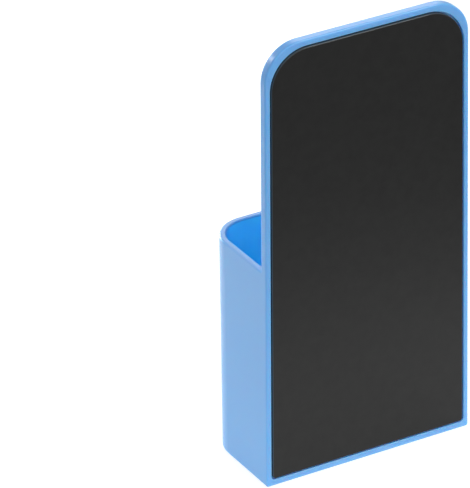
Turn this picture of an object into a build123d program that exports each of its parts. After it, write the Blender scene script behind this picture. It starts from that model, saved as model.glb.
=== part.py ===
"""Magnetic pen holder: a moulded back plate and pocket with a magnet sheet bonded into its back.

Three pieces, each its own solid:
  holder_body    one injection moulding, the plate with its shallow back recess and the open pocket
  adhesive_film  the double-sided film on the floor of the recess
  magnet_sheet   the die-cut flexible magnet that grips a steel surface

Millimetres, +Z up. The pocket faces -Y and the magnet faces +Y. The origin is the middle of the
holder's footprint, on the surface that its foot stands on.
"""

import os
from math import radians, tan

from build123d import *

# Outer shape of the moulding
WIDTH = 75.0  # across the foot
HEIGHT = 153.3
BODY_DEPTH = 38.2  # pocket front, at its mouth, to the rim around the magnet
SIDE_LEAN = 1.1  # each side draws in by this much from foot to top
PLATE_THICKNESS = 3.2
PLATE_CORNER_R = 12.4

# Pocket
POCKET_HEIGHT = 76.0
POCKET_CORNER_R = 12.5
FRONT_LEAN = 1.0  # the front stands this much further out at the mouth than at the foot
WALL = 2.2  # at the mouth, under the lip rounding
FLOOR = 2.2
CORE_DRAFT = 0.25  # degrees on each side, so that the moulding leaves its core
CAVITY_FLOOR_R = 1.5

# Recess in the back and the rim around it
RIM_SIDE = 1.8
RIM_TOP = 2.1
RIM_FOOT = 2.2
RECESS_CORNER_R = 13.1
RECESS_FOOT_R = 1.4

# Edge rounding
FOOT_R = 0.8
EDGE_R = 0.6
LIP_R = 0.5
RIM_EDGE_R = 0.35

# Magnet sheet and its film
SHEET_THICKNESS = 1.2
FILM_THICKNESS = 0.15
SHEET_PROUD = 0.2  # the magnet stands past the rim, so that it meets the steel first
SHEET_CLEARANCE = 0.5  # gap all round, for the die cut's tolerance
SHEET_EDGE_R = 0.35

# Planes across the depth, worked out from the sizes above
MAGNET_Y = (BODY_DEPTH + SHEET_PROUD) / 2
RIM_Y = MAGNET_Y - SHEET_PROUD
SHEET_Y = MAGNET_Y - SHEET_THICKNESS
RECESS_Y = SHEET_Y - FILM_THICKNESS
PLATE_Y = RIM_Y - PLATE_THICKNESS
FRONT_Y = RIM_Y - BODY_DEPTH


def half_width(z):
    """Half the holder's width at height z."""
    return WIDTH / 2 - SIDE_LEAN * z / HEIGHT


def front_y(z):
    """Where the pocket's front face stands at height z."""
    return FRONT_Y + FRONT_LEAN * (1 - z / POCKET_HEIGHT)


def outline(inset, low, high, top_radius, foot_radius):
    """Upright outline with leaning sides, set in from them, between two heights."""
    foot = half_width(low) - inset
    top = half_width(high) - inset
    shape = Polygon((-foot, low), (foot, low), (top, high), (-top, high), align=None)
    corners = shape.vertices().group_by(Axis.Y)
    shape = fillet(corners[-1], top_radius)
    if foot_radius > 0:
        shape = fillet(shape.vertices().group_by(Axis.Y)[0], foot_radius)
    return shape


def slab(shape, back, front):
    """An upright outline made solid between two planes across the depth."""
    plane = Plane(origin=(0, back, 0), x_dir=(1, 0, 0), z_dir=(0, -1, 0))
    return extrude(plane * shape, amount=back - front)


def back_plate():
    """The plate at its full size, with the edges of its front face rounded."""
    plate = slab(outline(0, 0, HEIGHT, PLATE_CORNER_R, 0), RIM_Y, PLATE_Y)
    return fillet(plate.faces().sort_by(Axis.Y)[0].edges(), EDGE_R)


def pocket_block():
    """The pocket's outside, flush with the plate's sides and foot, still solid."""
    root = (RIM_Y + PLATE_Y) / 2
    foot = half_width(0)
    top = half_width(POCKET_HEIGHT)
    shape = Polygon((-foot, 0), (foot, 0), (top, POCKET_HEIGHT), (-top, POCKET_HEIGHT), align=None)
    side = Polygon((root, 0), (front_y(0), 0), (FRONT_Y, POCKET_HEIGHT), (root, POCKET_HEIGHT), align=None)
    block = slab(shape, root, FRONT_Y) & extrude(Plane.YZ * side, amount=WIDTH, both=True)
    front_face = block.faces().sort_by(Axis.Y)[0]
    uprights = front_face.edges().sort_by(Axis.X)
    block = fillet([uprights[0], uprights[-1]], POCKET_CORNER_R)
    return fillet(open_edges(block.faces().sort_by(Axis.Z)[-1], root), EDGE_R)


def open_edges(shape, plane_y):
    """The edges of a shape that lie in front of a plane across the depth."""
    return [edge for edge in shape.edges() if edge.center().Y < plane_y - 0.01]


def pocket_section(z):
    """The space inside the pocket at height z, between its walls and the plate."""
    front = front_y(z) + WALL
    side = half_width(POCKET_HEIGHT) - WALL - (POCKET_HEIGHT - z) * tan(radians(CORE_DRAFT))
    section = Polygon((-side, front), (side, front), (side, PLATE_Y), (-side, PLATE_Y), align=None)
    section = fillet(section.vertices().group_by(Axis.Y)[0], POCKET_CORNER_R - WALL)
    return Pos(0, 0, z) * section


def pocket_cavity():
    """The space inside the pocket, which narrows downwards from its mouth."""
    core = loft([pocket_section(FLOOR), pocket_section(POCKET_HEIGHT)], ruled=True)
    return fillet(core.faces().sort_by(Axis.Z)[0].edges(), CAVITY_FLOOR_R)


def lip_edges(body):
    """The inner edges of the pocket's lip, from the plate round the front and back to it."""
    mouth = pocket_section(POCKET_HEIGHT).face().outer_wire()
    walls = open_edges(body, PLATE_Y)
    return [edge for edge in walls if mouth.distance_to(edge.position_at(0.5)) < 0.01]


def back_recess():
    """The shallow bed that the magnet sheet lies in."""
    shape = outline(RIM_SIDE, RIM_FOOT, HEIGHT - RIM_TOP, RECESS_CORNER_R, RECESS_FOOT_R)
    return slab(shape, RIM_Y, RECESS_Y)


def holder_body():
    """The moulding: plate and pocket in one, with the recess let into its back."""
    body = back_plate() + (pocket_block() - pocket_cavity())
    body = fillet(open_edges(body.faces().sort_by(Axis.Z)[0], RIM_Y), FOOT_R)
    body = fillet(body.faces().sort_by(Axis.Y)[-1].edges(), EDGE_R)
    body = fillet(lip_edges(body), LIP_R) - back_recess()
    rim = body.faces().filter_by(Axis.Y).sort_by(Axis.Y)[-1].inner_wires()[0]
    return fillet(rim.edges(), RIM_EDGE_R)


def sheet_outline():
    """The die-cut outline that the sheet and its film share: the recess less its clearance."""
    gap = SHEET_CLEARANCE
    top = HEIGHT - RIM_TOP - gap
    return outline(RIM_SIDE + gap, RIM_FOOT + gap, top, RECESS_CORNER_R - gap, RECESS_FOOT_R - gap)


def adhesive_film():
    """Film between the recess floor and the sheet."""
    return slab(sheet_outline(), SHEET_Y, RECESS_Y)


def magnet_sheet():
    """Flexible magnet sheet, its outer edge eased by the die."""
    sheet = slab(sheet_outline(), MAGNET_Y, SHEET_Y)
    return fillet(sheet.faces().sort_by(Axis.Y)[-1].edges(), SHEET_EDGE_R)


NODES = {
    "holder_body": holder_body,
    "adhesive_film": adhesive_film,
    "magnet_sheet": magnet_sheet,
}

os.makedirs("parts", exist_ok=True)
for name, build in NODES.items():
    export_step(build(), f"parts/{name}.step")
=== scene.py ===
from math import radians

import bpy
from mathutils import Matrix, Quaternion, Vector


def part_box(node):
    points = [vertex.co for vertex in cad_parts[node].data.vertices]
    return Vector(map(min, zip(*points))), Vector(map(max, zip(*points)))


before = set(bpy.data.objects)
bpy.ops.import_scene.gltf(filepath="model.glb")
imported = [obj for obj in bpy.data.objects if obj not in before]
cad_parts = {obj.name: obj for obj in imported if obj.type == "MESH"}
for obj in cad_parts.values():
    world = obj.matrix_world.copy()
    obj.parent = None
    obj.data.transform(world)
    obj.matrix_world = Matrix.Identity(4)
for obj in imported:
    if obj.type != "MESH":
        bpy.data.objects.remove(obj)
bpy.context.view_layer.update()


# --- Camera -------------------------------------------------------------------------------------
# A long lens, looking down on the magnet side of the holder from beyond its left edge. AIM is the
# point in the middle of the view.
AZIMUTH = radians(150.33)
ELEVATION = radians(28.37)
ROLL = radians(-0.89)
DISTANCE = 1.6121
AIM = Vector((0.03157, -0.00943, 0.07270))
FOCAL_LENGTH = 379.6

camera_data = bpy.data.cameras.new("camera")
camera_data.lens = FOCAL_LENGTH
camera_data.clip_start = 0.1
camera_data.clip_end = 20.0
camera = bpy.data.objects.new("camera", camera_data)
bpy.context.scene.collection.objects.link(camera)
swing = Quaternion((0, 0, 1), AZIMUTH)
tilt = Quaternion((1, 0, 0), radians(90) - ELEVATION)
camera.rotation_mode = "QUATERNION"
camera.rotation_quaternion = swing @ tilt @ Quaternion((0, 0, 1), ROLL)
camera.location = AIM + camera.rotation_quaternion @ Vector((0, 0, DISTANCE))
bpy.context.scene.camera = camera


# --- Floor and light ----------------------------------------------------------------------------
# A plain pale table of opal acrylic with a painted glow in its surface, a round pool of emission and
# no
# lamp under it: the painted glow makes the ground white, fills in the shadows near the holder and
# falls off evenly all round. Soft panels light the rest.
def linear(hex_colour):
    """An sRGB hex colour as linear RGBA."""
    channels = [int(hex_colour[i:i + 2], 16) / 255 for i in (1, 3, 5)]
    return [c / 12.92 if c <= 0.04045 else ((c + 0.055) / 1.055) ** 2.4 for c in channels] + [1.0]


def add_node(material, kind, settings=(), links=()):
    """Adds a node, sets its own properties or its inputs, and links sources into its inputs."""
    node = material.node_tree.nodes.new(kind)
    for name, value in dict(settings).items():
        if isinstance(name, str) and hasattr(node, name):
            setattr(node, name, value)
        else:
            node.inputs[name].default_value = value
    for name, source in dict(links).items():
        material.node_tree.links.new(source, node.inputs[name])
    return node


def new_material(name):
    """A material with an empty node tree."""
    material = bpy.data.materials.new(name)
    material.use_nodes = True
    material.node_tree.nodes.clear()
    return material


def ramp(material, source, low, high, at_low=0.0, at_high=1.0, kind="LINEAR"):
    """A value that runs from at_low to at_high while its source runs from low to high."""
    settings = {
        "interpolation_type": kind, "From Min": low, "From Max": high,
        "To Min": at_low, "To Max": at_high}
    return add_node(material, "ShaderNodeMapRange", settings, {"Value": source}).outputs["Result"]


def arithmetic(material, operation, first, second):
    """One arithmetic step between two sockets or plain values."""
    terms = {0: first, 1: second}
    plain = {index: term for index, term in terms.items() if isinstance(term, (int, float))}
    linked = {index: term for index, term in terms.items() if index not in plain}
    return add_node(material, "ShaderNodeMath", {"operation": operation, **plain}, linked).outputs[0]


TABLE_SIZE = 6.0
POOL_CENTRE = (0.0, -0.12, 0.0)
POOL_FULL, POOL_END = 0.18, 0.34  # distances from the centre of the painted pool of light
POOL_GLOW, FAR_GLOW = 0.74, 0.03

# Satin white with a painted glow: its emission is a pool of light that fades out away from the
# holder.
glow_painted_acrylic = new_material("opal_acrylic_painted_glow")
where = add_node(glow_painted_acrylic, "ShaderNodeTexCoord").outputs["Object"]
from_pool_centre = add_node(
    glow_painted_acrylic, "ShaderNodeVectorMath", {"operation": "DISTANCE", 1: POOL_CENTRE}, {0: where})
# Painted pool of light: emission strong round the holder, faint far off.
painted_glow = ramp(
    glow_painted_acrylic, from_pool_centre.outputs["Value"], POOL_FULL, POOL_END, POOL_GLOW, FAR_GLOW, "SMOOTHSTEP")
acrylic = add_node(
    glow_painted_acrylic, "ShaderNodeBsdfPrincipled",
    {"Base Color": linear("#B0B0B0"), "Roughness": 0.8, "Emission Color": linear("#FFFFFF")},
    {"Emission Strength": painted_glow})
add_node(glow_painted_acrylic, "ShaderNodeOutputMaterial", links={"Surface": acrylic.outputs[0]})

bpy.ops.object.select_all(action="DESELECT")
bpy.ops.mesh.primitive_plane_add(size=TABLE_SIZE, location=(0, 0, 0))
table_top = bpy.context.object
table_top.name = "table_top"
table_top.data.materials.append(glow_painted_acrylic)


def soft_panel(name, place, target, width, height, power):
    """A rectangular soft light that faces a target."""
    data = bpy.data.lights.new(name, "AREA")
    data.shape = "RECTANGLE"
    data.size = width
    data.size_y = height
    data.energy = power
    panel = bpy.data.objects.new(name, data)
    bpy.context.scene.collection.objects.link(panel)
    panel.location = place
    panel.rotation_mode = "QUATERNION"
    panel.rotation_quaternion = (Vector(target) - Vector(place)).to_track_quat("-Z", "Y")


MIDDLE = (0, 0, 0.077)
NEAR_CORNER = (0.03, 0, 0.14)
# Lines the upper edges of the rim and of the sheet.
soft_panel("overhead_panel", (-0.57, 0.62, 1.07), MIDDLE, 0.30, 0.30, 6.0)
# Lifts the rim on the magnet side.
soft_panel("magnet_side_panel", (-0.20, 1.30, 0.35), MIDDLE, 0.50, 0.40, 3.5)
# Lights the front and shines through the pocket's wall into its inside.
soft_panel("pocket_side_panel", (0.10, -1.00, 0.15), MIDDLE, 0.70, 0.30, 8.0)
# Gives the lip and the top of the plate their sheen.
soft_panel("sky_panel", (-0.48, -0.84, 0.60), MIDDLE, 0.50, 0.50, 1.8)
# Puts the small spark on the near top corner.
soft_panel("glint_panel", (0.57, -0.91, 0.60), NEAR_CORNER, 0.10, 0.10, 1.6)

ROOM_GLOW = 0.56
room = bpy.data.worlds.new("studio")
room.use_nodes = True
room.node_tree.nodes["Background"].inputs["Color"].default_value = linear("#FFFFFF")
room.node_tree.nodes["Background"].inputs["Strength"].default_value = ROOM_GLOW
bpy.context.scene.world = room
bpy.context.scene.view_settings.view_transform = "Standard"


# --- Holder body --------------------------------------------------------------------------------
# One injection moulding of sky-blue ABS: the plate, the pocket and the rim round the magnet. It has
# one base colour and a fine satin skin. Inside the pocket, picked out by position, light travels
# further through the plastic, which makes that inside a deeper, more azure blue.
MM = 0.001
PEEL_SIZE = 0.9 * MM
PEEL_DEPTH = 0.05 * MM
SKIN_REACH = 1.5 * MM  # how far light travels inside the plastic before it comes out again
CORE_REACH = 7.0 * MM
CORE_CORNER_X = 24.4 * MM  # axis of the pocket's corner roundings
CORE_CORNER_Y = -6.7 * MM
CORE_RADIUS = 10.9 * MM  # from that axis to halfway through the wall
CORE_BACK = 16.5 * MM
CORE_FLOOR = 1.5 * MM
CORE_LIP = 75.4 * MM

# Cloudy satin plastic: soft white sheen outside, clear deep blue inside the pocket.
moulded_abs = new_material("moulded_blue_abs")
where = add_node(moulded_abs, "ShaderNodeTexCoord").outputs["Object"]
orange_peel = add_node(
    moulded_abs, "ShaderNodeTexNoise", {"Scale": 1 / PEEL_SIZE, "Detail": 3.0, "Roughness": 0.55},
    {"Vector": where})
peel_bump = add_node(
    moulded_abs, "ShaderNodeBump", {"Strength": 0.06, "Distance": PEEL_DEPTH},
    {"Height": orange_peel.outputs["Fac"]})
place = add_node(moulded_abs, "ShaderNodeSeparateXYZ", links={0: where})
off_middle = arithmetic(moulded_abs, "ABSOLUTE", place.outputs["X"], 0)
beyond_x = arithmetic(moulded_abs, "SUBTRACT", off_middle, CORE_CORNER_X)
beyond_y = arithmetic(moulded_abs, "SUBTRACT", CORE_CORNER_Y, place.outputs["Y"])
past_x = arithmetic(moulded_abs, "MAXIMUM", beyond_x, 0)
past_y = arithmetic(moulded_abs, "MAXIMUM", beyond_y, 0)
past_corner = add_node(moulded_abs, "ShaderNodeCombineXYZ", links={0: past_x, 1: past_y})
from_core = add_node(
    moulded_abs, "ShaderNodeVectorMath", {"operation": "LENGTH"}, {0: past_corner.outputs[0]})
in_pocket = arithmetic(moulded_abs, "LESS_THAN", from_core.outputs["Value"], CORE_RADIUS)
core_limits = (
    ("LESS_THAN", "Y", CORE_BACK),
    ("GREATER_THAN", "Z", CORE_FLOOR),
    ("LESS_THAN", "Z", CORE_LIP),
)
for test, axis, limit in core_limits:
    within = arithmetic(moulded_abs, test, place.outputs[axis], limit)
    in_pocket = arithmetic(moulded_abs, "MULTIPLY", in_pocket, within)
abs_shader = add_node(
    moulded_abs, "ShaderNodeBsdfPrincipled",
    {"Base Color": linear("#6EABE2"), "Roughness": 0.30, "IOR": 1.53,
     "Subsurface Weight": 1.0, "Subsurface Radius": (0.2, 1.0, 1.0)},
    {"Normal": peel_bump.outputs["Normal"],
     "Subsurface Scale": ramp(moulded_abs, in_pocket, 0, 1, SKIN_REACH, CORE_REACH)})
add_node(moulded_abs, "ShaderNodeOutputMaterial", links={"Surface": abs_shader.outputs[0]})
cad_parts["holder_body"].data.materials[0] = moulded_abs


# --- Adhesive film ------------------------------------------------------------------------------
# Double-sided acrylic tape between the recess floor and the sheet. Only its cut edge meets the eye,
# as part of the dark line round the magnet.
tape = new_material("acrylic_tape")
tape_shader = add_node(
    tape, "ShaderNodeBsdfPrincipled", {"Base Color": linear("#3C3E3C"), "Roughness": 0.5})
add_node(tape, "ShaderNodeOutputMaterial", links={"Surface": tape_shader.outputs[0]})
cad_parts["adhesive_film"].data.materials[0] = tape


# --- Magnet sheet -------------------------------------------------------------------------------
# Calendered ferrite rubber, die-cut to the recess and pressed onto the tape. The rolls leave a fine
# grain and faint cloudy patches; the die leaves a smoother shoulder, coloured a paler bluish grey
# that is partly the cut edge's own greyer tone and partly a painted highlight line along the edge.
GRAIN_SIZE = 0.5 * MM
GRAIN_DEPTH = 0.03 * MM
PATCH_SIZE = 3.0 * MM
PATCH_LOW, PATCH_HIGH = 0.3, 0.7  # the part of the noise that runs from dark to light
SHOULDER_DEPTH = 0.20 * MM
SHOULDER_END = 0.02 * MM
SHOULDER_ROUGHNESS, FACE_ROUGHNESS = 0.18, 0.30
COLOUR_A, COLOUR_B, COLOUR_RESULT = 6, 7, 2  # the colour sockets of a Mix node

# Near-black satin rubber: a soft mirror of the table, with a thin bright line along its edge that is
# partly a painted highlight in the shoulder's colour.
ferrite = new_material("calendered_ferrite_rubber")
where = add_node(ferrite, "ShaderNodeTexCoord").outputs["Object"]
grain = add_node(
    ferrite, "ShaderNodeTexNoise", {"Scale": 1 / GRAIN_SIZE, "Detail": 4.0, "Roughness": 0.6},
    {"Vector": where})
grain_bump = add_node(
    ferrite, "ShaderNodeBump", {"Strength": 0.12, "Distance": GRAIN_DEPTH},
    {"Height": grain.outputs["Fac"]})
patches = add_node(
    ferrite, "ShaderNodeTexNoise", {"Scale": 1 / PATCH_SIZE, "Detail": 4.0, "Roughness": 0.6},
    {"Vector": where})
mottle = ramp(ferrite, patches.outputs["Fac"], PATCH_LOW, PATCH_HIGH)
depth = add_node(ferrite, "ShaderNodeSeparateXYZ", links={0: where}).outputs["Y"]
face_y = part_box("magnet_sheet")[1][1]
on_face = ramp(ferrite, depth, face_y - SHOULDER_DEPTH, face_y - SHOULDER_END)
face_tone = add_node(
    ferrite, "ShaderNodeMix",
    {"data_type": "RGBA", COLOUR_A: linear("#020202"), COLOUR_B: linear("#0C0D0C")}, {0: mottle})
# Paler bluish shoulder colour: a painted highlight line along the sheet's edge, partly the cut
# edge's greyer tone.
tone_with_painted_edge_line = add_node(
    ferrite, "ShaderNodeMix", {"data_type": "RGBA", COLOUR_A: linear("#4A555A")},
    {0: on_face, COLOUR_B: face_tone.outputs[COLOUR_RESULT]})
ferrite_shader = add_node(
    ferrite, "ShaderNodeBsdfPrincipled", {"IOR": 1.41},
    {"Base Color": tone_with_painted_edge_line.outputs[COLOUR_RESULT], "Normal": grain_bump.outputs["Normal"],
     "Roughness": ramp(ferrite, on_face, 0, 1, SHOULDER_ROUGHNESS, FACE_ROUGHNESS)})
add_node(ferrite, "ShaderNodeOutputMaterial", links={"Surface": ferrite_shader.outputs[0]})
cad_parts["magnet_sheet"].data.materials[0] = ferrite
